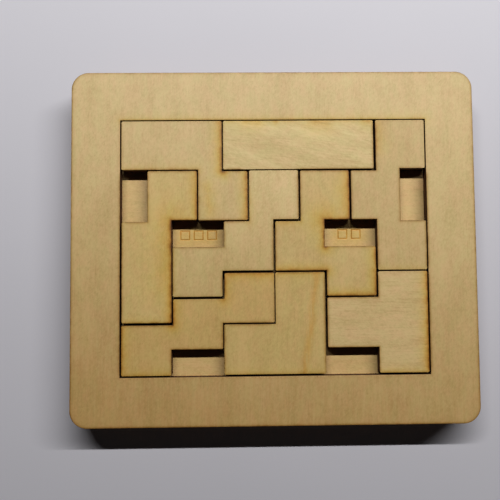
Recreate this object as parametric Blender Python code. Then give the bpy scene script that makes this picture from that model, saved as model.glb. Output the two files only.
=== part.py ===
"""A tray packing puzzle in laser-cut plywood.

Three sheets glued in a stack make the tray: a base sheet, a floor sheet, and a frame with a window. Nine loose
tiles lie on the floor sheet, inside the window. Each tile is three unit squares joined along a whole side or half
a side, so its outline keeps to a grid of half units, and six pockets stay open between the tiles.

X runs across the tray and Y away from the user. The origin is the middle of the tray's underside. Metres.
"""

from math import cos, pi, sin

import bmesh
import bpy
from mathutils import Vector

# Sizes that drive the whole puzzle
UNIT = 0.015  # side of one square of a tile
WINDOW_COLUMNS = 6  # the window's width, in unit squares
WINDOW_ROWS = 5  # the window's depth, in unit squares
BORDER = 0.0143  # width of the frame round the window
CORNER_RADIUS = 0.005  # the tray's outer corners
BASE_THICKNESS = 0.0037
FLOOR_THICKNESS = 0.0037
FRAME_THICKNESS = 0.0037
TILE_THICKNESS = 0.0037

# Clearances
TILE_GAP = 0.00045  # between two tiles that stand exactly on the grid
WINDOW_PLAY = 0.00015  # extra room along each side of the window
SEAT_GAP = 0.0003  # between a sheet or tile and the sheet that it lies on

# The mark engraved in the floor: rows of small open squares, each row in the middle of a pocket
MARK_SIDE = 0.0030
MARK_SPACING = 0.0040
MARK_LINE = 0.0004
MARK_DEPTH = 0.00015
MARK_ROWS = (((3, 5.5), 3), ((9, 5.5), 2))  # centre in half units, and how many squares

ARC_STEPS = 12  # facets in each rounded corner

# Each tile: the lower left corners of its three squares, in half units from the window's lower left corner, and
# how far the loose tile lies off the grid in x and y, as shares of the gap between tiles.
TILES = {
    "tile_flag": (((0, 8), (2, 8), (3, 6)), (-0.05, 0.20)),
    "tile_bar": (((4, 8), (6, 8), (8, 8)), (-0.30, 0.20)),
    "tile_chevron": (((10, 8), (9, 6), (10, 4)), (0.10, 0.25)),
    "tile_crank": (((1, 6), (0, 4), (0, 2)), (0.25, 0.55)),
    "tile_dogleg": (((5, 6), (4, 4), (2, 3)), (-0.10, 0.55)),
    "tile_elbow": (((7, 6), (6, 4), (8, 3)), (0.00, 0.30)),
    "tile_tee": (((10, 2), (8, 1), (10, 0)), (0.00, 0.40)),
    "tile_corner": (((6, 2), (4, 0), (6, 0)), (-0.30, 0.35)),
    "tile_stair": (((4, 2), (2, 1), (0, 0)), (0.10, 0.15)),
}

# Colours of the bare wood faces
FRAME_COLOUR = (0.58, 0.43, 0.23)
FLOOR_COLOUR = (0.68, 0.50, 0.31)
TILE_COLOUR = (0.55, 0.42, 0.22)
CROSS_GRAIN_COLOUR = (0.62, 0.48, 0.27)
WOOD_ROUGHNESS = 0.62

# Places that follow from the sizes above
HALF = UNIT / 2
GRID_WIDTH = WINDOW_COLUMNS * UNIT
GRID_DEPTH = WINDOW_ROWS * UNIT
WINDOW_WIDTH = GRID_WIDTH + 2 * WINDOW_PLAY
WINDOW_DEPTH = GRID_DEPTH + 2 * WINDOW_PLAY
TRAY_WIDTH = WINDOW_WIDTH + 2 * BORDER
TRAY_DEPTH = WINDOW_DEPTH + 2 * BORDER
FLOOR_BOTTOM = BASE_THICKNESS + SEAT_GAP
FLOOR_TOP = FLOOR_BOTTOM + FLOOR_THICKNESS
SEAT_LEVEL = FLOOR_TOP + SEAT_GAP  # the undersides of the frame and of the tiles


def clear_scene():
    """Removes whatever the scene holds."""
    for old in list(bpy.data.objects):
        bpy.data.objects.remove(old, do_unlink=True)


def wood(name, colour):
    """A plain wood finish in the given colour."""
    material = bpy.data.materials.new(name)
    material.use_nodes = True
    shader = material.node_tree.nodes["Principled BSDF"]
    shader.inputs["Base Color"].default_value = (*colour, 1.0)
    shader.inputs["Roughness"].default_value = WOOD_ROUGHNESS
    shader.inputs["Metallic"].default_value = 0.0
    return material


def on_grid(column, row):
    """The point of the half-unit grid with these coordinates, seen from above."""
    return Vector((column * HALF - GRID_WIDTH / 2, row * HALF - GRID_DEPTH / 2))


def rounded_rectangle(width, depth, radius):
    """Corner points of a rectangle with round corners, anticlockwise from above."""
    points = []
    for turn, (side_x, side_y) in enumerate(((1, 1), (-1, 1), (-1, -1), (1, -1))):
        centre = Vector((side_x * (width / 2 - radius), side_y * (depth / 2 - radius)))
        for step in range(ARC_STEPS + 1):
            angle = (turn + step / ARC_STEPS) * pi / 2
            points.append(centre + radius * Vector((cos(angle), sin(angle))))
    return points


def prism(name, outline, bottom, thickness, material):
    """An object with a flat outline, given anticlockwise, pushed up from z = bottom by the thickness."""
    shape = bmesh.new()
    foot = shape.faces.new([shape.verts.new((point.x, point.y, bottom)) for point in outline])
    foot.normal_flip()
    raised = bmesh.ops.extrude_face_region(shape, geom=[foot])["geom"]
    top_points = [part for part in raised if isinstance(part, bmesh.types.BMVert)]
    bmesh.ops.translate(shape, verts=top_points, vec=(0, 0, thickness))
    bmesh.ops.recalc_face_normals(shape, faces=shape.faces)
    mesh = bpy.data.meshes.new(name)
    shape.to_mesh(mesh)
    shape.free()
    made = bpy.data.objects.new(name, mesh)
    bpy.context.scene.collection.objects.link(made)
    if material:
        made.data.materials.append(material)
    return made


def cut_away(target, cutter):
    """Cuts the cutter's shape out of the target, and keeps the cutter as a hidden guide."""
    cut = target.modifiers.new(cutter.name, "BOOLEAN")
    cut.operation = "DIFFERENCE"
    cut.solver = "EXACT"
    cut.object = cutter
    cutter.hide_render = True
    cutter.display_type = "WIRE"


def tray_sheet(name, bottom, thickness, material):
    """One sheet of the tray, with the tray's outer outline."""
    outline = rounded_rectangle(TRAY_WIDTH, TRAY_DEPTH, CORNER_RADIUS)
    sheet = prism(name, outline, bottom, thickness, material)
    sheet.data.shade_smooth()
    sheet.data.set_sharp_from_angle(angle=pi / 6)
    return sheet


def square(centre, side):
    """Corner points of a square, anticlockwise from above."""
    reach = side / 2
    corners = ((-reach, -reach), (reach, -reach), (reach, reach), (-reach, reach))
    return [centre + Vector(corner) for corner in corners]


def build_base_sheet():
    """The bottom sheet, which the puzzle stands on."""
    return tray_sheet("base_sheet", 0, BASE_THICKNESS, wood("base_wood", FRAME_COLOUR))


def build_floor_sheet():
    """The middle sheet, whose top is the tray's floor, with the engraved rows of open squares."""
    floor = tray_sheet("floor_sheet", FLOOR_BOTTOM, FLOOR_THICKNESS, wood("floor_wood", FLOOR_COLOUR))
    for row, ((column, line), count) in enumerate(MARK_ROWS):
        for place in range(count):
            along = (place - (count - 1) / 2) * MARK_SPACING
            centre = on_grid(column, line) + Vector((along, 0))
            groove = prism(
                f"mark_cutter_{row}_{place}",
                square(centre, MARK_SIDE),
                FLOOR_TOP - MARK_DEPTH,
                2 * MARK_DEPTH,
                None,
            )
            island = prism(
                f"mark_island_{row}_{place}",
                square(centre, MARK_SIDE - 2 * MARK_LINE),
                FLOOR_TOP - 2 * MARK_DEPTH,
                4 * MARK_DEPTH,
                None,
            )
            cut_away(groove, island)
            cut_away(floor, groove)
    return floor


def build_window_frame():
    """The top sheet: a frame whose window holds the tiles."""
    frame = tray_sheet("window_frame", SEAT_LEVEL, FRAME_THICKNESS, wood("frame_wood", FRAME_COLOUR))
    opening = [
        Vector((side_x * WINDOW_WIDTH / 2, side_y * WINDOW_DEPTH / 2))
        for side_x, side_y in ((-1, -1), (1, -1), (1, 1), (-1, 1))
    ]
    cutter = prism("window_cutter", opening, SEAT_LEVEL - FRAME_THICKNESS, 3 * FRAME_THICKNESS, None)
    cut_away(frame, cutter)
    return frame


def tile_outline(squares):
    """The corners of a tile on the half-unit grid, anticlockwise.

    Each square is four grid cells. The sides that two cells share cancel out, and the sides that are left are
    walked round from end to end, keeping only the points where the walk turns.
    """
    cells = {(x + i, y + j) for x, y in squares for i in (0, 1) for j in (0, 1)}
    sides = set()
    for x, y in cells:
        corners = ((x, y), (x + 1, y), (x + 1, y + 1), (x, y + 1))
        for start, end in zip(corners, corners[1:] + corners[:1]):
            if (end, start) in sides:
                sides.remove((end, start))
            else:
                sides.add((start, end))
    following = dict(sides)
    first = min(following)
    walk = [first]
    while following[walk[-1]] != first:
        walk.append(following[walk[-1]])
    count = len(walk)
    return [
        walk[i]
        for i in range(count)
        if (walk[i - 1][0] != walk[(i + 1) % count][0]) and (walk[i - 1][1] != walk[(i + 1) % count][1])
    ]


def drawn_in(points, distance):
    """An anticlockwise right-angled outline with every side moved inwards by the distance."""
    moved = []
    for i, point in enumerate(points):
        before = (point - points[i - 1]).normalized()
        after = (points[(i + 1) % len(points)] - point).normalized()
        inwards = Vector((-before.y, before.x)) + Vector((-after.y, after.x))
        moved.append(point + distance * inwards)
    return moved


def build_tile(name, squares, nudge, material):
    """One loose tile, with its origin under its centre of mass, on the line that it lifts along."""
    corners = [on_grid(*corner) for corner in tile_outline(squares)]
    centre = sum((on_grid(x + 1, y + 1) for x, y in squares), Vector((0, 0))) / len(squares)
    outline = [corner - centre for corner in drawn_in(corners, TILE_GAP / 2)]
    tile = prism(name, outline, 0, TILE_THICKNESS, material)
    tile.location = (*(centre + TILE_GAP * Vector(nudge)), SEAT_LEVEL)
    return tile


def build_tiles():
    """The nine tiles. The bar and the tee were cut with the grain running across the tray."""
    along = wood("tile_wood", TILE_COLOUR)
    across = wood("tile_wood_across", CROSS_GRAIN_COLOUR)
    for name, (squares, nudge) in TILES.items():
        build_tile(name, squares, nudge, across if name in ("tile_bar", "tile_tee") else along)


clear_scene()
build_base_sheet()
build_floor_sheet()
build_window_frame()
build_tiles()
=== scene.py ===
from math import radians

import bpy
import numpy as np
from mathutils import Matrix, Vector


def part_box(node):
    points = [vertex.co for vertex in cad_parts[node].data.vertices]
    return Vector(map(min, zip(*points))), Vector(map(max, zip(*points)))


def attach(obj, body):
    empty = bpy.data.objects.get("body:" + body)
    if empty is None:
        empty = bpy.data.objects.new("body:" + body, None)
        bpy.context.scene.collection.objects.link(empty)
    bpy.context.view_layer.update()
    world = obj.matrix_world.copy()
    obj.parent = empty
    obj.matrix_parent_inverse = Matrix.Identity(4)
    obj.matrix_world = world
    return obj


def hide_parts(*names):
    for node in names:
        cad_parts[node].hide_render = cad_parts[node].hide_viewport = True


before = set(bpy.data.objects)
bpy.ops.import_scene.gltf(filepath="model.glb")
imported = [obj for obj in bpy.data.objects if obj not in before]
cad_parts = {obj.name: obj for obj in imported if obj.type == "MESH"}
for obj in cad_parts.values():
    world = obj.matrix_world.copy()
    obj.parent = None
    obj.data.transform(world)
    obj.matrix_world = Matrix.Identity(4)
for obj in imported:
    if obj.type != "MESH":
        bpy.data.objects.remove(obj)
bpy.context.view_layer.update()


# ----------------------------------------------------------------------------------------------------------
# The camera looks almost straight down from about 20 cm above the tray, and leans a little towards the far
# side. Its lens is a normal one for a small camera held close.
CAMERA_PLACE = (-0.0071, -0.0140, 0.2162)
CAMERA_TURN = (3.641, -1.166, -0.588)  # degrees about X, Y and Z from straight down
CAMERA_LENS, SENSOR_WIDTH = 50.4, 36  # mm
CAMERA_SHIFT = -0.03
NEAREST_SEEN = 0.005

camera_data = bpy.data.cameras.new("camera")
camera_data.lens = CAMERA_LENS
camera_data.sensor_width = SENSOR_WIDTH
camera_data.shift_x = CAMERA_SHIFT
camera_data.clip_start = NEAREST_SEEN
camera = bpy.data.objects.new("camera", camera_data)
camera.location = CAMERA_PLACE
camera.rotation_euler = [radians(angle) for angle in CAMERA_TURN]
bpy.context.scene.collection.objects.link(camera)
bpy.context.scene.camera = camera
bpy.context.scene.view_settings.view_transform = "Standard"
bpy.context.scene.view_settings.look = "Medium High Contrast"


# ----------------------------------------------------------------------------------------------------------
# The puzzle lies on a sheet of pale card. A long tube lamp with a reflector hangs beyond the far side, a
# little to the right, and throws the crisp shadows along the near edges. Two low strip lights in front
# brighten the upright walls but hardly the card. The room is dim, with a pale backdrop behind the card.
CARD_COLOUR = (0.700, 0.685, 0.725)
CARD_PALER = (0.735, 0.71925, 0.76125)
CARD_CLOUD, CARD_TOOTH = 60, 0.4  # mm
CARD_ROUGHNESS = 0.7
CARD_SIDE = 1.1
CARD_LEVEL = -0.00004
TUBE_PLACE = (0.205, 0.385, 0.620)
TUBE_TARGET = (0.205, 0.66, 0)  # the reflector is turned away, so the near side is darker
TUBE_LENGTH, TUBE_WIDTH = 1.03, 0.026
TUBE_POWER = 8.7
STRIP_SIZE = (0.5, 0.05)
STRIP_POWER = 0.8
STRIP_TARGET = (0, 0, 0.005)
STRIPS = {"strip_left": (-0.75, -0.75, 0.04), "strip_right": (0.75, -0.75, 0.04)}
ROOM_LIGHT = 0.010
BACKDROP_COLOUR = (0.46, 0.455, 0.47)


def add_node(tree, kind, *feeds, **settings):
    """Adds a shader node to the tree. The feeds go to its inputs in order, and a setting whose name starts
    with a capital goes to the input of that name. Each is a value, or another node's output to link. A
    setting in small letters is one of the node's own properties."""
    made = tree.nodes.new(kind)
    for name, value in settings.items():
        if name[0].islower():
            setattr(made, name, value)
    named = [(name.replace("_", " "), value) for name, value in settings.items() if name[0].isupper()]
    for key, value in [*enumerate(feeds), *named]:
        if isinstance(value, bpy.types.NodeSocket):
            tree.links.new(value, made.inputs[key])
        elif value is not None:
            made.inputs[key].default_value = value
    return made


def arithmetic(tree, operation, *feeds):
    """The output of a Math node with these feeds."""
    return add_node(tree, "ShaderNodeMath", *feeds, operation=operation).outputs[0]


def noise(tree, place, across, along, detail=2.0, roughness=0.5):
    """Smooth noise from 0 to 1 at a place in millimetres, in grains `across` mm wide and `along` mm long."""
    size = (1 / across, 1 / along, 1 / along)
    scaled = add_node(tree, "ShaderNodeMapping", Vector=place, Scale=size, vector_type="POINT").outputs[0]
    texture = add_node(
        tree, "ShaderNodeTexNoise", Vector=scaled, Scale=1.0, Detail=detail, Roughness=roughness
    )
    return texture.outputs["Fac"]


def between(tree, value, start, end, low=0.0, high=1.0):
    """The value taken smoothly from `low` at start to `high` at end."""
    made = add_node(
        tree, "ShaderNodeMapRange", value, start, end, low, high, interpolation_type="SMOOTHSTEP"
    )
    return made.outputs[0]


def mixed(tree, share, colour, other, blend="MIX"):
    """The output of a colour mix, from `colour` at share 0 to `other` at share 1."""
    made = add_node(tree, "ShaderNodeMix", share, data_type="RGBA", blend_type=blend)
    for socket, value in (("A_Color", colour), ("B_Color", other)):
        found = next(s for s in made.inputs if s.identifier == socket)
        if isinstance(value, bpy.types.NodeSocket):
            tree.links.new(value, found)
        else:
            found.default_value = (*value, 1.0)
    return next(s for s in made.outputs if s.identifier == "Result_Color")


def place_in_mm(tree, shift=(0, 0, 0), turn=0):
    """The object's own coordinates in millimetres, turned about Z and then shifted."""
    coordinates = add_node(tree, "ShaderNodeTexCoord")
    made = add_node(
        tree,
        "ShaderNodeMapping",
        Vector=coordinates.outputs["Object"],
        Location=shift,
        Rotation=(0, 0, radians(turn)),
        Scale=(1000, 1000, 1000),
        vector_type="POINT",
    )
    return made.outputs[0]


def card_material():
    """Pale card with a faint tooth."""
    material = bpy.data.materials.new("card")
    material.use_nodes = True
    tree = material.node_tree
    shader = tree.nodes["Principled BSDF"]
    place = place_in_mm(tree)
    cloud = noise(tree, place, CARD_CLOUD, CARD_CLOUD)
    tooth = noise(tree, place, CARD_TOOTH, CARD_TOOTH, detail=4)
    tree.links.new(mixed(tree, cloud, CARD_COLOUR, CARD_PALER), shader.inputs["Base Color"])
    bump = add_node(tree, "ShaderNodeBump", Strength=0.15, Distance=0.0001, Height=tooth)
    tree.links.new(bump.outputs[0], shader.inputs["Normal"])
    shader.inputs["Roughness"].default_value = CARD_ROUGHNESS
    return material


def soft_light(name, place, target, size, power):
    """An area lamp at a place, facing a target, that the camera doesn't see."""
    data = bpy.data.lights.new(name, "AREA")
    data.shape = "RECTANGLE"
    data.size, data.size_y = size
    data.energy = power
    lamp = bpy.data.objects.new(name, data)
    lamp.location = place
    lamp.rotation_euler = (Vector(place) - Vector(target)).to_track_quat("Z", "Y").to_euler()
    lamp.visible_camera = False
    bpy.context.scene.collection.objects.link(lamp)


def dim_room():
    """A world that gives little light and that the camera sees as a pale backdrop."""
    world = bpy.data.worlds.new("room")
    world.use_nodes = True
    tree = world.node_tree
    shader = tree.nodes["Background"]
    seen = add_node(tree, "ShaderNodeLightPath").outputs["Is Camera Ray"]
    strength = add_node(tree, "ShaderNodeMapRange", seen, 0.0, 1.0, ROOM_LIGHT, 1.0)
    shader.inputs["Color"].default_value = (*BACKDROP_COLOUR, 1)
    tree.links.new(strength.outputs[0], shader.inputs["Strength"])
    return world


card_mesh = bpy.data.meshes.new("card")
half = CARD_SIDE / 2
card_corners = ((-half, -half), (half, -half), (half, half), (-half, half))
card_mesh.from_pydata([(x, y, CARD_LEVEL) for x, y in card_corners], [], [(0, 1, 2, 3)])
card = bpy.data.objects.new("card", card_mesh)
bpy.context.scene.collection.objects.link(card)
card.data.materials.append(card_material())

soft_light("tube_lamp", TUBE_PLACE, TUBE_TARGET, (TUBE_LENGTH, TUBE_WIDTH), TUBE_POWER)
for strip, strip_place in STRIPS.items():
    soft_light(strip, strip_place, STRIP_TARGET, STRIP_SIZE, STRIP_POWER)
bpy.context.scene.world = dim_room()


# ----------------------------------------------------------------------------------------------------------
# The base sheet is the lowest of the tray's three sheets of birch plywood. A laser cuts it, with its four
# corners round, and chars the cut edges. It is glued under the floor sheet.
CORNER_RADIUS = 0.005
EDGE_ROUND = 0.00008  # how far the cut edges are worn round
EDGE_STEPS = 3
EDGE_FLAT = 0.0002  # where the wall's shading becomes flat
SHEET_CELL = 0.0012
PLACE_DIGITS = 6  # corners are compared to the micrometre
LINE_DIGITS = 7  # grid lines closer than a tenth of that are one
SLACK = 1e-9  # rounding error allowed in a share
TINY = 1e-15  # keeps a division from being by zero

PALE_WOOD = (0.800, 0.585, 0.278)
DEEP_WOOD = (0.605, 0.420, 0.172)
PINKER, GREENER = (1.025, 0.978, 0.985), (0.980, 1.008, 0.962)
CHAR_BLACK = (0.030, 0.013, 0.005)
CHAR_BROWN = (0.210, 0.092, 0.032)
# How deep a halo and a cut's dark rim are in red, green and blue, and each colour's power of the halo
HALO_DEPTH, HALO_POWER = (1.15, 1.60, 2.75), (2.3, 1.6, 1.0)
RIM_DEPTH = (0.95, 1.30, 2.05)
RIM_WIDTH = 0.27  # mm
FACE_PLY = 0.24  # each outer ply's share of a sheet's thickness
FLECK_LEAN = 24  # degrees off the grain
RIDGE_WIDTH, RIDGE_HEIGHT = 0.16, 5  # mm, the upright streaks on a charred wall
WOOD_ROUGHNESS, CHAR_ROUGHNESS = 0.46, 0.85
WOOD_RELIEF = 0.35  # against the charred walls' relief
BUMP_STRENGTH, BUMP_HEIGHT = 0.5, 0.00006
BASE_TINT = (0.97, 0.97, 0.97)
BASE_CUT_FROM = (31, 7, 0)  # where in the sheet of ply the piece was, in mm


def outline_of(node):
    """The straight stretches round a CAD node's flat top, as an array of pairs of points in plan.

    A side of a top triangle that only one triangle has lies on the outline."""
    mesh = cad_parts[node].data
    mesh.calc_loop_triangles()
    points = np.empty(len(mesh.vertices) * 3)
    mesh.vertices.foreach_get("co", points)
    points = points.reshape(-1, 3).round(PLACE_DIGITS)
    corners = np.empty(len(mesh.loop_triangles) * 3, np.int32)
    mesh.loop_triangles.foreach_get("vertices", corners)
    triangles = points[corners.reshape(-1, 3)]
    flat = triangles[(triangles[:, :, 2] == points[:, 2].max()).all(axis=1), :, :2]
    sides = np.concatenate([flat[:, [0, 1]], flat[:, [1, 2]], flat[:, [2, 0]]])
    (ax, ay), (bx, by) = sides[:, 0].T, sides[:, 1].T
    backwards = (ax > bx) | ((ax == bx) & (ay > by))
    sides[backwards] = sides[backwards][:, ::-1]
    found, count = np.unique(sides.reshape(-1, 4), axis=0, return_counts=True)
    return found[count == 1].reshape(-1, 2, 2)


def distance_to(stretches, x, y):
    """Distance in plan from each point to the nearest of the straight stretches.

    A point's foot on a stretch from a to b is a + t (b - a), with t held between 0 and 1."""
    nearest = np.full(x.shape, np.inf)
    for start, end in stretches:
        run = end - start
        t = np.clip(((x - start[0]) * run[0] + (y - start[1]) * run[1]) / max(run @ run, TINY), 0, 1)
        nearest = np.minimum(nearest, np.hypot(x - start[0] - t * run[0], y - start[1] - t * run[1]))
    return nearest


def grid_lines(fixed, cell):
    """Sorted places that hold every fixed one and lie no more than a cell apart."""
    fixed = np.unique(np.round(fixed, LINE_DIGITS))
    pairs = zip(fixed[:-1], fixed[1:])
    runs = [np.linspace(a, b, int(np.ceil((b - a) / cell)) + 1)[:-1] for a, b in pairs]
    return np.append(np.concatenate(runs), fixed[-1])


def rounded_corners(x, y, inside, radius):
    """Moves the points of a plan grid so that each outer corner of the inside cells becomes an arc.

    In the corner's square, p and q run from 0 at its inner sides to 1 at the outline, and become
    p sqrt(1 - q^2 / 2) and q sqrt(1 - p^2 / 2), which lays its two outer sides on a quarter circle."""
    x, y = x.copy(), y.copy()
    fixed_x, fixed_y = x.copy(), y.copy()
    cells = np.pad(inside, 1).astype(int)
    around = cells[:-1, :-1] + cells[1:, :-1] + cells[:-1, 1:] + cells[1:, 1:]
    for i, j in np.argwhere(around == 1):
        side_x = 1 if cells[i + 1, j] + cells[i + 1, j + 1] else -1
        side_y = 1 if cells[i, j + 1] + cells[i + 1, j + 1] else -1
        p = 1 - (fixed_x - fixed_x[i, j]) * side_x / radius
        q = 1 - (fixed_y - fixed_y[i, j]) * side_y / radius
        block = (p > SLACK) & (p < 1 + SLACK) & (q > SLACK) & (q < 1 + SLACK)
        bent_p, bent_q = p * np.sqrt(1 - q**2 / 2 * block), q * np.sqrt(1 - p**2 / 2 * block)
        x[block] = (fixed_x[i, j] + side_x * radius * (1 - bent_p))[block]
        y[block] = (fixed_y[i, j] + side_y * radius * (1 - bent_q))[block]
    return x, y


def wall_sides(inside):
    """The grid points at the two ends of each side between an inside and an outside cell, anticlockwise."""
    cells = np.pad(inside, 1)
    core = cells[1:-1, 1:-1]
    starts, ends = [], []
    for outer, start, end in (
        (cells[1:-1, :-2], (0, 0), (1, 0)),
        (cells[2:, 1:-1], (1, 0), (1, 1)),
        (cells[1:-1, 2:], (1, 1), (0, 1)),
        (cells[:-2, 1:-1], (0, 1), (0, 0)),
    ):
        found = np.argwhere(core & ~outer)
        starts.append(found + start)
        ends.append(found + end)
    return np.concatenate(starts), np.concatenate(ends)


def edge_profile(thickness):
    """The wall from under face to top face: how far each row is drawn in, and its height.

    Both rims are quarter circles of radius r, r (1 - sin a) in and r (1 - cos a) up for a from 0 to 90
    degrees, with one row close above or below each so that the wall between them shades flat."""
    angle = np.linspace(0, np.pi / 2, EDGE_STEPS)
    inset, rise = EDGE_ROUND * (1 - np.sin(angle)), EDGE_ROUND * (1 - np.cos(angle))
    inset, rise = np.append(inset, 0), np.append(rise, EDGE_FLAT)
    return np.concatenate([inset, inset[::-1]]), np.concatenate([rise, thickness - rise[::-1]])


def ply_piece(name, xs, ys, inside, bottom, top, radius, outline, halo, relief=None, clean=None):
    """A flat piece of ply: the cells of a plan grid that are inside, between two heights.

    Point (i, j) of row k is (xs[i], ys[j]) drawn in from the outline by the profile's inset k, at its height
    k. The first row's inside cells are the under face, the last row's are the top face, and the sides between
    inside and outside cells are carried up through all the rows. The mesh stores each point's distance from
    the cut edge in mm as `edge`, and its scorching as `halo`. Where the cut is clean, `edge` is larger."""
    x, y = np.meshgrid(xs, ys, indexing="ij")
    x, y = rounded_corners(x, y, inside, radius)
    starts, ends = wall_sides(inside)
    (ai, aj), (bi, bj) = starts.T, ends.T
    run = np.stack([x[bi, bj] - x[ai, aj], y[bi, bj] - y[ai, aj]], axis=-1)
    outwards = np.stack([run[:, 1], -run[:, 0]], axis=-1) / np.linalg.norm(run, axis=1)[:, None]
    mitre = np.zeros((*x.shape, 2))
    np.add.at(mitre, (ai, aj), outwards)
    np.add.at(mitre, (bi, bj), outwards)
    mitre *= 2 / np.maximum((mitre**2).sum(axis=-1, keepdims=True), TINY)

    insets, rises = edge_profile(top - bottom)
    rows = len(insets)
    places = np.empty((rows, *x.shape, 3))
    places[..., 0] = x - insets[:, None, None] * mitre[..., 0]
    places[..., 1] = y - insets[:, None, None] * mitre[..., 1]
    places[..., 2] = bottom + rises[:, None, None]
    if relief is not None:
        places[-1, ..., 2] += relief(x, y)
    number = np.arange(rows * x.size).reshape(rows, *x.shape)

    i, j = np.nonzero(inside)
    lid, foot = number[-1], number[0]
    upper = np.stack([lid[i, j], lid[i + 1, j], lid[i + 1, j + 1], lid[i, j + 1]], 1)
    under = np.stack([foot[i, j], foot[i, j + 1], foot[i + 1, j + 1], foot[i + 1, j]], 1)
    low, high = number[:-1], number[1:]
    walls = np.stack([low[:, ai, aj], low[:, bi, bj], high[:, bi, bj], high[:, ai, aj]], -1).reshape(-1, 4)
    faces = np.concatenate([upper, under, walls])
    used, faces = np.unique(faces, return_inverse=True)
    points = places.reshape(-1, 3)[used]

    mesh = bpy.data.meshes.new(name)
    mesh.from_pydata(points, [], faces.reshape(-1, 4))
    mesh.shade_smooth()
    edge = 1000 * distance_to(outline, points[:, 0], points[:, 1])
    if clean is not None:
        edge += clean(points[:, 0], points[:, 1])
    for field, values in (("edge", edge), ("halo", halo(points[:, 0], points[:, 1]))):
        attribute = mesh.attributes.new(field, "FLOAT", "POINT")
        attribute.data.foreach_set("value", np.asarray(values, np.float32))
    made = bpy.data.objects.new(name, mesh)
    bpy.context.scene.collection.objects.link(made)
    return made


def effect(name, takes, gives):
    """An empty node group with these inputs and outputs, and its two end nodes."""
    tree = bpy.data.node_groups.new(name, "ShaderNodeTree")
    for label, kind in takes:
        tree.interface.new_socket(label, in_out="INPUT", socket_type=f"NodeSocket{kind}")
    for label, kind in gives:
        tree.interface.new_socket(label, in_out="OUTPUT", socket_type=f"NodeSocket{kind}")
    return tree, tree.nodes.new("NodeGroupInput").outputs, tree.nodes.new("NodeGroupOutput").inputs


def grain_effect():
    """Rotary-cut birch seen from its face, with the grain along Y.

    Tone is 1 plus small shares of: growth bands a few mm wide, streaks and hairs that run with the grain, a
    cloudy patchiness, a soft mottle, and a fine tooth and dark flecks that lean a little off the grain. The
    first three are multiplied by Streaks. Hue is where the wood is pinker. Relief is the streaks, the tooth
    and the flecks as a height."""
    tree, given, out = effect(
        "birch_grain",
        [("Place", "Vector"), ("Streaks", "Float")],
        [("Tone", "Float"), ("Hue", "Float"), ("Relief", "Float")],
    )
    place = given["Place"]
    lean = (0, 0, radians(FLECK_LEAN))
    leaning = add_node(tree, "ShaderNodeMapping", Vector=place, Rotation=lean, vector_type="POINT").outputs[0]
    band = noise(tree, place, 3.2, 60, detail=2)
    streak = noise(tree, place, 0.36, 7, detail=3, roughness=0.6)
    hair = between(tree, noise(tree, place, 0.24, 6.5, detail=2), 0.55, 0.80)
    cloud = noise(tree, place, 8, 13, detail=3, roughness=0.6)
    mottle = noise(tree, place, 1.0, 1.5, detail=2)
    tooth = noise(tree, leaning, 0.40, 0.75, detail=3, roughness=0.65)
    fleck = between(tree, noise(tree, leaning, 0.26, 0.9, detail=1), 0.62, 0.80)
    lines = ((band, 0.5, 0.16), (streak, 0.5, 0.15), (hair, 0.1, -0.10))
    spots = ((cloud, 0.5, 0.24), (mottle, 0.5, 0.16), (tooth, 0.5, 0.32), (fleck, 0.1, -0.12))
    total = 0.0
    for part, middle, share in lines:
        total = arithmetic(tree, "MULTIPLY_ADD", arithmetic(tree, "SUBTRACT", part, middle), share, total)
    total = arithmetic(tree, "MULTIPLY", total, given["Streaks"])
    for part, middle, share in spots:
        total = arithmetic(tree, "MULTIPLY_ADD", arithmetic(tree, "SUBTRACT", part, middle), share, total)
    tree.links.new(arithmetic(tree, "ADD", total, 1.0), out["Tone"])
    hue = noise(tree, place, 2.6, 5, detail=4, roughness=0.6)
    tree.links.new(between(tree, hue, 0.30, 0.70), out["Hue"])
    pores = arithmetic(tree, "MULTIPLY_ADD", fleck, -0.8, streak)
    tree.links.new(arithmetic(tree, "MULTIPLY_ADD", tooth, 0.9, pores), out["Relief"])
    return tree


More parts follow.
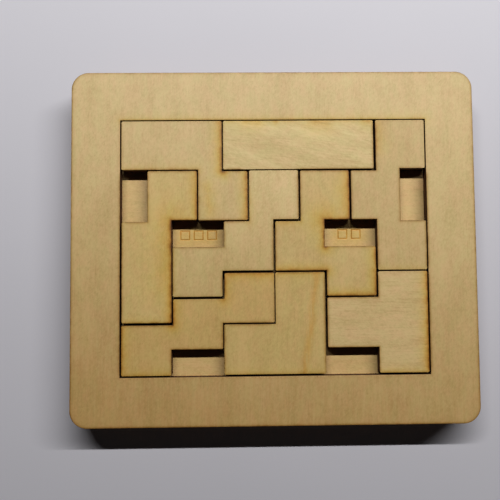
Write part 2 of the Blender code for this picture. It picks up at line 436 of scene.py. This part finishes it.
def burn_effect():
    """What the laser leaves. Tint is the share of each colour that the face keeps, exp(-(depth halo^power +
    rim)), so that a weak halo is golden and a strong one brown. The rim is its own depth times
    exp(-edge / its width). Wall is 1 on the cut walls. Char is the walls' colour: upright streaks, and the
    glue lines and paler core between the two outer plies. Relief is the streaks as a height."""
    tree, given, out = effect(
        "laser_burn",
        [("Place", "Vector"), ("Edge", "Float"), ("Halo", "Float"), ("Up", "Float"), ("Depth", "Float")],
        [("Tint", "Color"), ("Wall", "Float"), ("Char", "Color"), ("Relief", "Float")],
    )
    place = given["Place"]
    patch = noise(tree, place, 2.2, 2.2, detail=3, roughness=0.6)
    fringe = noise(tree, place, 0.35, 0.35, detail=2)
    ragged = between(tree, fringe, 0, 1, -0.18, 0.18)
    broken = arithmetic(tree, "ADD", between(tree, patch, 0.3, 0.7, 0.70, 1.18), ragged)
    halo = arithmetic(tree, "MULTIPLY", given["Halo"], broken)
    rim = arithmetic(tree, "EXPONENT", arithmetic(tree, "MULTIPLY", given["Edge"], -1 / RIM_WIDTH))
    rim = arithmetic(tree, "MULTIPLY", rim, between(tree, patch, 0.25, 0.75, 0.55, 1.15))
    kept = []
    for halo_depth, power, rim_depth in zip(HALO_DEPTH, HALO_POWER, RIM_DEPTH):
        taken = arithmetic(tree, "MULTIPLY", arithmetic(tree, "POWER", halo, power), halo_depth)
        taken = arithmetic(tree, "MULTIPLY_ADD", rim, rim_depth, taken)
        kept.append(arithmetic(tree, "EXPONENT", arithmetic(tree, "MULTIPLY", taken, -1.0)))
    tree.links.new(add_node(tree, "ShaderNodeCombineColor", *kept).outputs[0], out["Tint"])
    upright = between(tree, arithmetic(tree, "ABSOLUTE", given["Up"]), 0.35, 0.9, 1.0, 0.0)
    tree.links.new(upright, out["Wall"])

    size = (1 / RIDGE_WIDTH, 1 / RIDGE_WIDTH, 1 / RIDGE_HEIGHT)
    upwards = add_node(tree, "ShaderNodeMapping", Vector=place, Scale=size, vector_type="POINT").outputs[0]
    ridge = add_node(tree, "ShaderNodeTexNoise", Vector=upwards, Scale=1.0, Detail=2.0).outputs["Fac"]
    from_face = arithmetic(tree, "MINIMUM", given["Depth"], arithmetic(tree, "SUBTRACT", 1.0, given["Depth"]))
    from_glue = arithmetic(tree, "ABSOLUTE", arithmetic(tree, "SUBTRACT", from_face, FACE_PLY))
    glue = between(tree, from_glue, 0.01, 0.045, 1.0, 0.0)
    core = between(tree, from_face, FACE_PLY - 0.01, FACE_PLY + 0.03)
    brown = between(tree, ridge, 0.3, 0.75, 0.25, 1.0)
    brown = arithmetic(tree, "MULTIPLY", brown, between(tree, core, 0, 1, 0.5, 1.0))
    brown = arithmetic(tree, "MULTIPLY", brown, arithmetic(tree, "SUBTRACT", 1.0, glue))
    tree.links.new(mixed(tree, brown, CHAR_BLACK, CHAR_BROWN), out["Char"])
    tree.links.new(ridge, out["Relief"])
    return tree


GRAIN, BURN = grain_effect(), burn_effect()


def laser_cut_ply(name, bottom, thickness, turn=0, shift=(0, 0, 0), tint=(1, 1, 1), streaks=0.8, extra=None):
    """Bare birch ply with a charred cut edge. turn is the grain's direction, 0 for front to back and 90 for
    left to right, and shift is where in the sheet the piece was. streaks is how marked its lines are.
    extra(tree, place, wood) may change the wood's colour."""
    material = bpy.data.materials.new(name)
    material.use_nodes = True
    tree = material.node_tree
    shader = tree.nodes["Principled BSDF"]
    place = place_in_mm(tree, shift, turn)
    grain = add_node(tree, "ShaderNodeGroup", node_tree=GRAIN, Place=place, Streaks=streaks)
    coordinates = add_node(tree, "ShaderNodeTexCoord")
    up = add_node(tree, "ShaderNodeSeparateXYZ", coordinates.outputs["Normal"]).outputs["Z"]
    height = add_node(tree, "ShaderNodeSeparateXYZ", coordinates.outputs["Object"]).outputs["Z"]
    depth = add_node(tree, "ShaderNodeMapRange", height, bottom, bottom + thickness, 0.0, 1.0).outputs[0]
    edge = add_node(tree, "ShaderNodeAttribute", attribute_name="edge").outputs["Fac"]
    halo = add_node(tree, "ShaderNodeAttribute", attribute_name="halo").outputs["Fac"]
    burn = add_node(
        tree,
        "ShaderNodeGroup",
        node_tree=BURN,
        Place=place_in_mm(tree, shift),
        Edge=edge,
        Halo=halo,
        Up=up,
        Depth=depth,
    )
    pale, deep = (tuple(np.multiply(colour, tint)) for colour in (PALE_WOOD, DEEP_WOOD))
    wood = mixed(tree, between(tree, grain.outputs["Tone"], 0.78, 1.14, 1.0, 0.0), pale, deep)
    wood = mixed(tree, 1.0, wood, mixed(tree, grain.outputs["Hue"], GREENER, PINKER), "MULTIPLY")
    if extra:
        wood = extra(tree, place, wood)
    wood = mixed(tree, 1.0, wood, burn.outputs["Tint"], "MULTIPLY")
    wall = burn.outputs["Wall"]
    tree.links.new(mixed(tree, wall, wood, burn.outputs["Char"]), shader.inputs["Base Color"])
    tree.links.new(between(tree, wall, 0, 1, WOOD_ROUGHNESS, CHAR_ROUGHNESS), shader.inputs["Roughness"])
    wall_relief = arithmetic(tree, "MULTIPLY", burn.outputs["Relief"], wall)
    relief = arithmetic(tree, "MULTIPLY_ADD", grain.outputs["Relief"], WOOD_RELIEF, wall_relief)
    bump = add_node(tree, "ShaderNodeBump", Strength=BUMP_STRENGTH, Distance=BUMP_HEIGHT, Height=relief)
    tree.links.new(bump.outputs[0], shader.inputs["Normal"])
    return material


def no_halo(x, y):
    """No scorching away from the cut edge."""
    return np.zeros_like(x)


def sheet_lines(node, cell, extra_x=(), extra_y=()):
    """Grid lines across a tray sheet, with one where each rounded corner starts."""
    low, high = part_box(node)
    return [
        grid_lines([low[k], low[k] + CORNER_RADIUS, high[k] - CORNER_RADIUS, high[k], *extra], cell)
        for k, extra in ((0, extra_x), (1, extra_y))
    ]


low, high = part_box("base_sheet")
xs, ys = sheet_lines("base_sheet", SHEET_CELL)
whole = np.ones((len(xs) - 1, len(ys) - 1), bool)
base = ply_piece(
    "base_board", xs, ys, whole, low.z, high.z, CORNER_RADIUS, outline_of("base_sheet"), no_halo
)
base.data.materials.append(
    laser_cut_ply("base_ply", low.z, high.z - low.z, shift=BASE_CUT_FROM, tint=BASE_TINT)
)
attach(base, "tray")
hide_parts("base_sheet")


# ----------------------------------------------------------------------------------------------------------
# The floor sheet is the middle of the tray. Its grain runs from side to side, and it shows only in the
# pockets between the tiles. Two rows of open squares are engraved in it with the laser at low power.
HALF_UNIT = 0.0075  # half a side of a tile's squares, the pitch that all the outlines keep to
WINDOW_HALF_UNITS = np.array((12, 10))
SQUARE_SIDE = 0.0030
SQUARE_SPACING = 0.0040
ENGRAVED_LINE = 0.0004
ENGRAVED_DEPTH = 0.00015
SQUARE_ROWS = (((3, 5.5), 3), ((9, 5.5), 2))  # a row's centre in half units, and how many squares
ENGRAVED_CELL = 0.0001
ENGRAVED_TINT = 0.66
ENGRAVED_HAZE, HAZE_WIDTH = 0.10, 0.0014
FLOOR_CELL = 0.0025
FLOOR_TINT = (1.04, 1.02, 1.02)
FLOOR_CUT_FROM = (3, 52, 0)


def on_grid(column, line):
    """The point with these coordinates in half units, from the window's near left corner."""
    return (np.array((column, line)) - WINDOW_HALF_UNITS / 2) * HALF_UNIT


squares = [
    on_grid(*centre) + ((place - (count - 1) / 2) * SQUARE_SPACING, 0)
    for centre, count in SQUARE_ROWS
    for place in range(count)
]


def engraving(x, y):
    """How deep in the engraved line a point is, from 0 outside it to 1 at its middle.

    A square's line is where max(|x|, |y|) from its centre is near its half side, and the groove's section is
    the parabola 1 - (2 d / width)^2 of the distance d from that line's middle."""
    middle = (SQUARE_SIDE - ENGRAVED_LINE) / 2
    off = np.min([abs(np.maximum(abs(x - cx), abs(y - cy)) - middle) for cx, cy in squares], axis=0)
    return np.clip(1 - (2 * off / ENGRAVED_LINE) ** 2, 0, 1)


def engraved_halo(x, y):
    """The line's own scorch, and a haze round the rows that fades as exp(-distance / width)."""
    off = np.min([np.maximum(abs(x - cx), abs(y - cy)) for cx, cy in squares], axis=0) - SQUARE_SIDE / 2
    haze = ENGRAVED_HAZE * np.exp(-np.maximum(off, 0) / HAZE_WIDTH)
    return np.maximum(ENGRAVED_TINT * engraving(x, y), haze)


low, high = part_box("floor_sheet")
half_span = SQUARE_SIDE / 2 + ENGRAVED_CELL
fine = np.arange(-half_span, half_span + ENGRAVED_CELL / 2, ENGRAVED_CELL)
xs, ys = sheet_lines(
    "floor_sheet",
    FLOOR_CELL,
    np.concatenate([fine + square[0] for square in squares]),
    fine + squares[0][1],
)
whole = np.ones((len(xs) - 1, len(ys) - 1), bool)
floor = ply_piece(
    "floor_board",
    xs,
    ys,
    whole,
    low.z,
    high.z,
    CORNER_RADIUS,
    outline_of("base_sheet"),
    engraved_halo,
    lambda x, y: -ENGRAVED_DEPTH * engraving(x, y),
)
floor.data.materials.append(
    laser_cut_ply("floor_ply", low.z, high.z - low.z, turn=90, shift=FLOOR_CUT_FROM, tint=FLOOR_TINT)
)
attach(floor, "tray")
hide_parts("floor_sheet")


# ----------------------------------------------------------------------------------------------------------
# The window frame is the top sheet. One cut frees its window, and the sheet is glued down on the floor
# sheet, so that the window becomes the recess the tiles lie in. Its grain runs from front to back.
FRAME_CELL = 0.0006
FRAME_TINT = (0.99, 1.025, 1.09)
FRAME_CUT_FROM = (11, 23, 0)
WINDOW_HALO = 0.14
WINDOW_HALO_WIDTH = 0.0009
# Painted shade: the frame is painted darker towards the near side and the left, where the light falls off
NEAR_SHADE_KEEPS = (0.86, 0.755, 0.63)  # what the painted shade towards the near side keeps of each colour
NEAR_SHADE_WAY = (-0.2, -1.0)  # painted shade: it darkens towards the near side, and a little towards the left
NEAR_SHADE_START, NEAR_SHADE_END = -12, 60  # mm along that way
INNER_MARGIN = 0.010  # the window's outline lies further in from the sheet's edge than this
# Stretches where the cut is cleaner: from one point to another in half units from the window's near left
# corner, and how many mm of the dark rim are missing
CLEAN_CUTS = [
    ((0, 10), (12, 10), 0.50),
    ((4.9, 8), (6.8, 8), 0.60),
    ((0, 8), (0, 10), 0.30),
    ((4, 8), (4, 10), 0.30),
    ((5, 6), (5, 8), 0.25),
    ((6, 6), (7, 6), 0.35),
    ((4, 4), (6, 4), 0.30),
    ((2, 3), (4, 3), 0.40),
    ((6, 2), (6, 4), 0.30),
    ((0, 0), (12, 0), 0.25),
    ((10, 4), (12, 4), 0.50),
    ((12, 8), (12, 10), 0.60),
]
CLEAN_REACH = 0.0010


def inside_outline(stretches, x, y):
    """Whether each point is inside a closed outline: a line from it towards +X crosses the outline an odd
    number of times."""
    crossings = np.zeros(x.shape, int)
    for (ax, ay), (bx, by) in stretches:
        if ay != by:
            at = ax + (y - ay) * (bx - ax) / (by - ay)
            crossings += ((ay > y) != (by > y)) & (x < at)
    return crossings % 2 == 1


def cell_middles(xs, ys):
    """The middle of each cell of a plan grid."""
    return np.meshgrid((xs[1:] + xs[:-1]) / 2, (ys[1:] + ys[:-1]) / 2, indexing="ij")


low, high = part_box("window_frame")
rim_outline = outline_of("window_frame")
limits = np.array(high)[:2] - INNER_MARGIN
window = rim_outline[(abs(rim_outline) < limits).all(axis=(1, 2))]
xs, ys = sheet_lines("window_frame", FRAME_CELL, window[..., 0].ravel(), window[..., 1].ravel())
far_side = window[(window[..., 1] > 0).all(axis=1)]


def clean_cut(x, y):
    """How many mm of the dark rim are missing: the most of any clean stretch's exp(-(distance / reach)^2)."""
    missing = np.zeros_like(x)
    for start, end, most in CLEAN_CUTS:
        off = distance_to([np.array([on_grid(*start), on_grid(*end)])], x, y)
        missing = np.maximum(missing, most * np.exp(-((off / CLEAN_REACH) ** 2)))
    return missing


def window_halo(x, y):
    """A light scorch along the window's far side, fading as exp(-distance / width)."""
    return WINDOW_HALO * np.exp(-distance_to(far_side, x, y) / WINDOW_HALO_WIDTH)


def shade_ramp_effect():
    """Painted shade: wood that turns darker and more brown one way, in reddish streaks. The share of the
    shaded wood goes from 0 at Start to 1 at End, in mm of the point At along the direction Way. The shaded
    wood keeps
    Keeps of each colour."""
    tree, given, out = effect(
        "painted_shade_wood",
        [
            ("Place", "Vector"),
            ("At", "Vector"),
            ("Way", "Vector"),
            ("Start", "Float"),
            ("End", "Float"),
            ("Wood", "Color"),
            ("Keeps", "Color"),
        ],
        [("Wood", "Color")],
    )
    gone = add_node(tree, "ShaderNodeVectorMath", given["At"], given["Way"], operation="DOT_PRODUCT")
    share = add_node(
        tree, "ShaderNodeMapRange", gone.outputs["Value"], given["Start"], given["End"], 0.0, 1.0
    ).outputs[0]
    streaks = between(tree, noise(tree, given["Place"], 0.7, 9, detail=3), 0.3, 0.7, 0.86, 1.14)
    share = arithmetic(tree, "MULTIPLY", share, streaks)
    darker = mixed(tree, 1.0, given["Wood"], given["Keeps"], "MULTIPLY")
    tree.links.new(mixed(tree, share, given["Wood"], darker), out["Wood"])
    return tree


SHADE_RAMP = shade_ramp_effect()


def painted_shade_ramp(way, start, end, keeps):
    """An extra for laser_cut_ply that paints shade on the wood, darker and more brown along a direction in
    plan.
    """

    def extra(tree, place, wood):
        """The wood's colour with the painted shade."""
        made = add_node(
            tree,
            "ShaderNodeGroup",
            node_tree=SHADE_RAMP,
            Place=place,
            At=place_in_mm(tree),
            Way=(*way, 0),
            Start=start,
            End=end,
            Wood=wood,
            Keeps=(*keeps, 1),
        )
        return made.outputs["Wood"]

    return extra


rim = ply_piece(
    "window_board",
    xs,
    ys,
    ~inside_outline(window, *cell_middles(xs, ys)),
    low.z,
    high.z,
    CORNER_RADIUS,
    rim_outline,
    window_halo,
    clean=clean_cut,
)
rim.data.materials.append(
    laser_cut_ply(
        "frame_ply",
        low.z,
        high.z - low.z,
        shift=FRAME_CUT_FROM,
        tint=FRAME_TINT,
        extra=painted_shade_ramp(NEAR_SHADE_WAY, NEAR_SHADE_START, NEAR_SHADE_END, NEAR_SHADE_KEEPS),
    )
)
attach(rim, "tray")
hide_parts("window_frame")


# ----------------------------------------------------------------------------------------------------------
# Wood glue holds the three sheets together. Each film stops a little short of the cut edges, where it shows
# as a dark seam round the tray.
GLUE_INSET = 0.0004
GLUE_COLOUR = (0.16, 0.09, 0.04)
GLUE_DARKER = (0.08, 0.045, 0.02)
GLUE_CELL = 0.002


def glue_material():
    """Dried wood glue, amber to brown, a little glossy."""
    material = bpy.data.materials.new("dried_glue")
    material.use_nodes = True
    tree = material.node_tree
    shader = tree.nodes["Principled BSDF"]
    lumps = noise(tree, place_in_mm(tree), 1.5, 1.5, detail=3)
    tree.links.new(mixed(tree, lumps, GLUE_COLOUR, GLUE_DARKER), shader.inputs["Base Color"])
    tree.links.new(between(tree, lumps, 0.3, 0.7, 0.35, 0.6), shader.inputs["Roughness"])
    return material


glue_finish = glue_material()
for name, under, above, hole in (
    ("lower_glue", "base_sheet", "floor_sheet", None),
    ("upper_glue", "floor_sheet", "window_frame", window),
):
    low, high = np.array(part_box(under))
    radius = CORNER_RADIUS - GLUE_INSET
    glue_low, glue_high = low[:2] + GLUE_INSET, high[:2] - GLUE_INSET
    fixed = [[glue_low[k], glue_low[k] + radius, glue_high[k] - radius, glue_high[k]] for k in (0, 1)]
    if hole is not None:
        hole = hole + GLUE_INSET * np.sign(hole)
        fixed = [[*fixed[k], *hole[..., k].ravel()] for k in (0, 1)]
    xs, ys = (grid_lines(places, GLUE_CELL) for places in fixed)
    middles = cell_middles(xs, ys)
    solid = np.ones(middles[0].shape, bool) if hole is None else ~inside_outline(hole, *middles)
    film = ply_piece(
        name, xs, ys, solid, high[2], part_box(above)[0].z, radius, outline_of("base_sheet"), no_halo
    )
    film.data.materials.append(glue_finish)
    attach(film, "tray")


# ----------------------------------------------------------------------------------------------------------
# The nine tiles are cut from the same ply and lie loose in the recess. The laser's smoke has drifted to one
# side of its path, so some sides of a tile are scorched gold or brown for a millimetre, and others are not.
TILE_CELL = 0.0004
TILE_CORNER = 0.00045  # the kerf rounds a tile's outer corners
CORNER_STEPS = 3
HALO_WIDTH = 0.0010

# Each tile: its grain's direction, how marked its lines are, its tint, and the place in the sheet that it was
# cut from, in mm
CUTS = {
    "tile_flag": (0, 0.8, (0.99, 1.02, 1.08), (17, 61)),
    "tile_bar": (97, 1.5, (0.995, 1.05, 1.09), (40, 12)),
    "tile_chevron": (0, 0.8, (0.94, 0.95, 0.975), (71, 33)),
    "tile_crank": (0, 0.8, (0.99, 1.00, 0.93), (95, 5)),
    "tile_dogleg": (0, 0.7, (1.08, 1.13, 1.24), (23, 90)),
    "tile_elbow": (0, 0.7, (0.97, 0.98, 0.94), (55, 71)),
    "tile_tee": (90, 1.5, (1.04, 1.06, 1.15), (8, 27)),
    "tile_corner": (0, 0.8, (0.97, 0.97, 0.88), (37, 44)),
    "tile_stair": (0, 0.8, (0.95, 0.91, 0.79), (62, 18)),
}
# Scorched stretches: from one point to another in half units from the window's near left corner, how strong
# the halo is, and how wide in mm where that isn't the usual width
SCORCHED = {
    "tile_flag": [
        ((4, 10), (4, 8), 1.00),
        ((5, 8), (5, 6), 0.90),
        ((0, 8), (3, 8), 0.16),
        ((3.4, 7.4), (3.5, 6.3), 0.16, 1.6),
    ],
    "tile_bar": [
        ((4.2, 10), (9.8, 10), 0.14),
        ((4.9, 10), (5.4, 10), 0.34, 1.4),
        ((6.1, 10), (6.1, 10), 0.60, 0.7),
        ((7.6, 10), (8.0, 10), 0.34, 1.8),
        ((9.6, 10), (9.8, 10), 0.45, 1.0),
    ],
    "tile_chevron": [((10, 9.8), (10, 9.0), 0.34, 1.6), ((10.1, 4), (11.9, 4), 0.12)],
    "tile_crank": [
        ((3, 8), (3, 6), 0.60),
        ((2, 6), (2, 5), 0.95),
        ((2, 6), (2, 3.6), 0.30, 3.0),
        ((2, 5), (2, 2), 0.75),
        ((2, 6), (2.8, 6), 0.55),
        ((0, 2), (2, 2), 0.22),
    ],
    "tile_dogleg": [((2, 4.8), (2, 3), 0.10), ((5, 6), (5, 7), 0.10)],
    "tile_elbow": [
        ((9, 8), (9, 6), 0.90),
        ((9, 7.4), (9, 6.5), 0.55, 1.8),
        ((8, 6), (9, 6), 0.62),
        ((8, 6), (8, 5), 0.90),
        ((8, 6), (8, 6), 0.62, 2.2),
        ((6, 4), (8, 4), 0.55),
        ((8, 3), (10, 3), 0.75),
        ((10, 5), (10, 4), 0.65),
        ((10, 4), (10, 3), 0.85),
        ((6, 6), (7, 6), 0.22),
    ],
    "tile_tee": [((12, 4), (12, 2), 0.70), ((12, 2), (12, 0), 0.85), ((10, 0), (12, 0), 0.30)],
    "tile_corner": [((6, 4), (8, 4), 0.22), ((4, 0), (8, 0), 0.15)],
    "tile_stair": [
        ((4, 4), (6, 4), 0.60),
        ((4, 4), (4, 3), 0.50),
        ((2, 3), (2, 2), 0.60),
        ((0, 2), (0, 0), 0.50),
        ((0, 0), (2, 0), 0.25),
    ],
}


def scorch(stretches):
    """The halo of a tile: the strongest of its stretches' strength times exp(-distance / width)."""

    def halo(x, y):
        """The strongest scorching at each point."""
        found = np.zeros_like(x)
        for start, end, strength, *width in stretches:
            stretch = np.array([on_grid(*start), on_grid(*end)])
            reach = width[0] / 1000 if width else HALO_WIDTH
            found = np.maximum(found, strength * np.exp(-distance_to([stretch], x, y) / reach))
        return found

    return halo


# The dogleg tile is painted darker towards its near end: painted shade where the light falls off.
# A rusty mineral line runs through the corner tile: at Y = 0 it is at this X in mm, and it leans as it goes.
# The bar tile has pale bands that lean off its grain by this many degrees.
DOGLEG_SHADE_WAY, DOGLEG_SHADE_START, DOGLEG_SHADE_END = (0, -1), -18, 8
DOGLEG_SHADE_KEEPS = (0.86, 0.835, 0.755)
RUST_PLACE, RUST_LEAN, RUST_WIDTH = 13.4, 0.13, 1.9
RUST_COLOUR = (0.985, 0.86, 0.66)
BAND_LEAN = 16
BAND_COLOUR = (1.075, 1.085, 1.13)


def mineral_line(tree, place, wood):
    """Wood with a soft rusty line along X = place + lean Y, which sways a little, is strongest at its middle
    and is broken along the grain."""
    across, along, _ = add_node(tree, "ShaderNodeSeparateXYZ", place_in_mm(tree)).outputs
    sway = between(tree, noise(tree, place, 30, 7, detail=2), 0, 1, -0.4, 0.4)
    line = arithmetic(tree, "ADD", arithmetic(tree, "MULTIPLY_ADD", along, RUST_LEAN, RUST_PLACE), sway)
    off = arithmetic(tree, "ABSOLUTE", arithmetic(tree, "SUBTRACT", across, line))
    broken = between(tree, noise(tree, place, 0.8, 6), 0.2, 0.6)
    share = arithmetic(tree, "MULTIPLY", between(tree, off, 0.0, RUST_WIDTH, 1.0, 0.0), broken)
    return mixed(tree, share, wood, mixed(tree, 1.0, wood, RUST_COLOUR, "MULTIPLY"))


def silky_bands(tree, place, wood):
    """Wood with soft pale bands that lie a little off the grain."""
    lean = (0, 0, radians(BAND_LEAN))
    leaning = add_node(tree, "ShaderNodeMapping", Vector=place, Rotation=lean, vector_type="POINT").outputs[0]
    share = between(tree, noise(tree, leaning, 1.5, 22, detail=2), 0.40, 0.66)
    return mixed(tree, share, wood, mixed(tree, 1.0, wood, BAND_COLOUR, "MULTIPLY"))


# The bar's pale bands and the corner's rusty line are marks in the wood, and the dogleg's ramp is painted
# shade
MARKS_AND_PAINTED_SHADE = {
    "tile_bar": silky_bands,
    "tile_dogleg": painted_shade_ramp(DOGLEG_SHADE_WAY, DOGLEG_SHADE_START, DOGLEG_SHADE_END, DOGLEG_SHADE_KEEPS),
    "tile_corner": mineral_line,
}


def with_corner_lines(places):
    """The places of an outline's sides, and lines close to both sides of each for the rounded corners."""
    steps = np.linspace(-1, 1, 2 * CORNER_STEPS + 1) * TILE_CORNER
    return (np.unique(places.round(PLACE_DIGITS))[:, None] + steps).ravel()


for node, (turn, streaks, tint, cut_from) in CUTS.items():
    low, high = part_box(node)
    outline = outline_of(node)
    xs, ys = (grid_lines(with_corner_lines(outline[..., k].ravel()), TILE_CELL) for k in (0, 1))
    inside = inside_outline(outline, *cell_middles(xs, ys))
    tile = ply_piece(
        node.replace("tile", "ply"),
        xs,
        ys,
        inside,
        low.z,
        high.z,
        TILE_CORNER,
        outline,
        scorch(SCORCHED[node]),
        clean=clean_cut,
    )
    finish = laser_cut_ply(
        node.replace("tile", "finish"),
        low.z,
        high.z - low.z,
        turn,
        (*cut_from, 0),
        tint,
        streaks,
        MARKS_AND_PAINTED_SHADE.get(node),
    )
    tile.data.materials.append(finish)
    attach(tile, node.removeprefix("tile_"))
    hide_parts(node)
